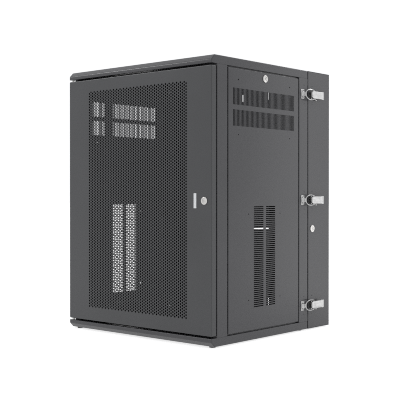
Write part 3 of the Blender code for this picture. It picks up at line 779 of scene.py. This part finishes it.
# ---- cable ports ----------------------------------------------------------------------------------
def rectangle(bm, low, high):
    made = bmesh.ops.create_grid(bm, x_segments=1, y_segments=1, size=0.5)["verts"]
    bmesh.ops.scale(bm, vec=(high[0] - low[0], high[1] - low[1], 1), verts=made)
    bmesh.ops.translate(bm, vec=((low[0] + high[0]) / 2, (low[1] + high[1]) / 2, 0), verts=made)
    faces = list({face for vert in made for face in vert.link_faces})
    edges = list(faces[0].edges)
    bmesh.ops.delete(bm, geom=faces, context="FACES_ONLY")
    return edges


def build_port(level, lid_z):
    """A brush strip in a cable port: a moulded frame and two rows of bristles."""
    middle_y = (PORT_Y[0] + PORT_Y[1]) / 2
    half_x, half_y = PORT_HALF, (PORT_Y[1] - PORT_Y[0]) / 2
    bm = bmesh.new()
    outer = rectangle(bm, (-half_x - PORT_LAP, -half_y - PORT_LAP), (half_x + PORT_LAP, half_y + PORT_LAP))
    inner = rectangle(bm, (-half_x + PORT_LAP, -half_y + PORT_LAP), (half_x - PORT_LAP, half_y - PORT_LAP))
    faces = filled(bm, outer + inner)
    made = bmesh.ops.extrude_face_region(bm, geom=faces)["geom"]
    bmesh.ops.translate(bm, vec=(0, 0, PORT_TRIM_T), verts=verts_in(made))
    bmesh.ops.recalc_face_normals(bm, faces=bm.faces)
    bm.normal_update()
    rounded(bm, outside_edges(bm), 0.0005, 2)
    set_down(bm, (1, 0, 0), (0, 1, 0), (0, back(middle_y), lid_z))
    finished(f"{level}_port_trim", bm, "rubber", "wall_section", bevelled=True)
    bristles = bmesh.new()
    reach = half_y - BRISTLE_INSET
    bmesh.ops.create_cone(bristles, cap_ends=True, segments=3, radius1=0.0006, radius2=0.00035,
                          depth=reach)
    bmesh.ops.rotate(bristles, matrix=Matrix.Rotation(-math.pi / 2, 3, "X"), verts=bristles.verts)
    bmesh.ops.translate(bristles, vec=(-half_x + BRISTLE_INSET, -half_y + reach / 2, -0.001),
                        verts=bristles.verts)
    step = 2 * (half_x - BRISTLE_INSET) / (BRISTLES - 1)
    stamped(bristles, [(step * i, 0.0012 * math.sin(2.4 * i), 0.0007 * math.sin(5.1 * i))
                       for i in range(1, BRISTLES)])
    opposite = bristles.copy()
    bmesh.ops.rotate(opposite, matrix=Matrix.Rotation(math.pi, 3, "Z"), verts=opposite.verts)
    joined(bristles, opposite)
    set_down(bristles, (1, 0, 0), (0, 1, 0), (0, back(middle_y), lid_z))
    finished(f"{level}_port_bristles", bristles, "rubber", "wall_section")


# ---- stage ----------------------------------------------------------------------------------
def build_stage():
    bm = bmesh.new()
    bmesh.ops.create_grid(bm, x_segments=1, y_segments=1, size=30.0)
    mesh = bpy.data.meshes.new("studio_floor")
    bm.to_mesh(mesh)
    bm.free()
    floor = bpy.data.objects.new("studio_floor", mesh)
    bpy.context.scene.collection.objects.link(floor)
    mat, tree, shader = new_finish("studio_white", 0.0)
    shader.inputs["Base Color"].default_value = (0.40, 0.40, 0.40, 1.0)
    shader.inputs["Roughness"].default_value = 0.9
    shader.inputs["Emission Color"].default_value = (1, 1, 1, 1)
    shader.inputs["Emission Strength"].default_value = 0.75
    mesh.materials.append(mat)


def area_light(name, spot, target, size, power):
    lamp = bpy.data.lights.new(name, "AREA")
    lamp.shape = "RECTANGLE"
    lamp.size, lamp.size_y = size
    lamp.energy = power
    obj = bpy.data.objects.new(name, lamp)
    obj.location = spot
    obj.rotation_euler = (Vector(target) - Vector(spot)).to_track_quat("-Z", "Y").to_euler()
    obj.visible_camera = False
    bpy.context.scene.collection.objects.link(obj)


def build_light():
    world = bpy.data.worlds.new("studio")
    world.use_nodes = True
    world.node_tree.nodes["Background"].inputs["Color"].default_value = (0.985, 0.99, 1.0, 1)
    world.node_tree.nodes["Background"].inputs["Strength"].default_value = 1.02
    bpy.context.scene.world = world
    bpy.context.scene.view_settings.view_transform = "Standard"
    area_light("front_fold_light", (-2.0, -1.9, 2.1), (0, -0.3, 0.6), (0.4, 0.4), 16.0)
    area_light("side_fold_light", (1.2, 2.2, 2.3), (0.32, 0, 0.7), (0.4, 0.4), 7.0)
    area_light("side_glow", (0.68, 0.64, 0.45), (0.32, 0.25, 0.44), (0.3, 1.2), 0.7)


def build_camera():
    data = bpy.data.cameras.new("camera")
    data.lens = 80.0
    data.sensor_width = 36.0
    data.clip_end = 100.0
    fine = bpy.context.scene.cycles     # the denoiser would smooth the small holes away
    fine.use_denoising = False
    fine.filter_width = 1.05
    camera = bpy.data.objects.new("camera", data)
    azimuth, tilt = math.radians(41.28), math.radians(0.38)
    camera.location = (2.025, -2.308, 0.459)
    forward = Vector((-math.sin(azimuth) * math.cos(tilt), math.cos(azimuth) * math.cos(tilt),
                      -math.sin(tilt)))
    camera.rotation_euler = forward.to_track_quat("-Z", "Y").to_euler()
    bpy.context.scene.collection.objects.link(camera)
    bpy.context.scene.camera = camera


# ---- the cabinet ----------------------------------------------------------------------------
def refinish():
    """Give every CAD node that stays in sight its finish."""
    finish_of = {slot: material for material, slot in FINISHES.values()}
    for row in frame["record"]["subparts"]:
        obj = frame["nodes"][row["node"]]
        obj.data.materials.clear()
        obj.data.materials.append(finish_of[row["material_slot"]])


def build_cabinet():
    refinish()
    build_door()
    for side, sign in (("left", -1), ("right", 1)):
        build_side_panel(side, sign)
        for end in ("front", "rear"):
            build_rack_rail(end, side)
    for node in ("top_cap", "bottom_pan"):
        softened(node, "cabinet_paint", EASE, CAP_FOLD)
    for node in ("front_left_post", "front_right_post", "rear_left_post", "rear_right_post",
                 "wall_left_side", "wall_right_side"):
        softened(node, "cabinet_paint", FINE_EASE, POST_FOLD)
    for node in ("wall_top", "wall_bottom", "wall_back_panel", "lower_left_brace",
                 "lower_right_brace", "upper_left_brace", "upper_right_brace"):
        softened(node, "cabinet_paint", EASE)
    for level in ("lower", "upper"):
        for leaf in ("main", "wall"):
            softened(f"swing_hinge_{level}_{leaf}_leaf", "cabinet_paint", EASE)
    for end in ("front", "rear"):
        for side in ("left", "right"):
            softened(f"{end}_{side}_pad", "rubber", PAD_EASE)
    softened("badge_plate", "badge", FINE_EASE)
    for lock in ("door", "left_panel", "right_panel", "wall"):
        for piece in ("housing", "plug"):
            softened(f"{lock}_lock_{piece}", "nickel", FINE_EASE)
        softened(f"{lock}_lock_cam", "zinc", FINE_EASE)
    build_fasteners()
    build_latches()
    build_port("top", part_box("wall_top")[1].z)
    build_port("bottom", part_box("wall_bottom")[0].z + HEAVY)


build_camera()
build_light()
build_stage()
build_cabinet()
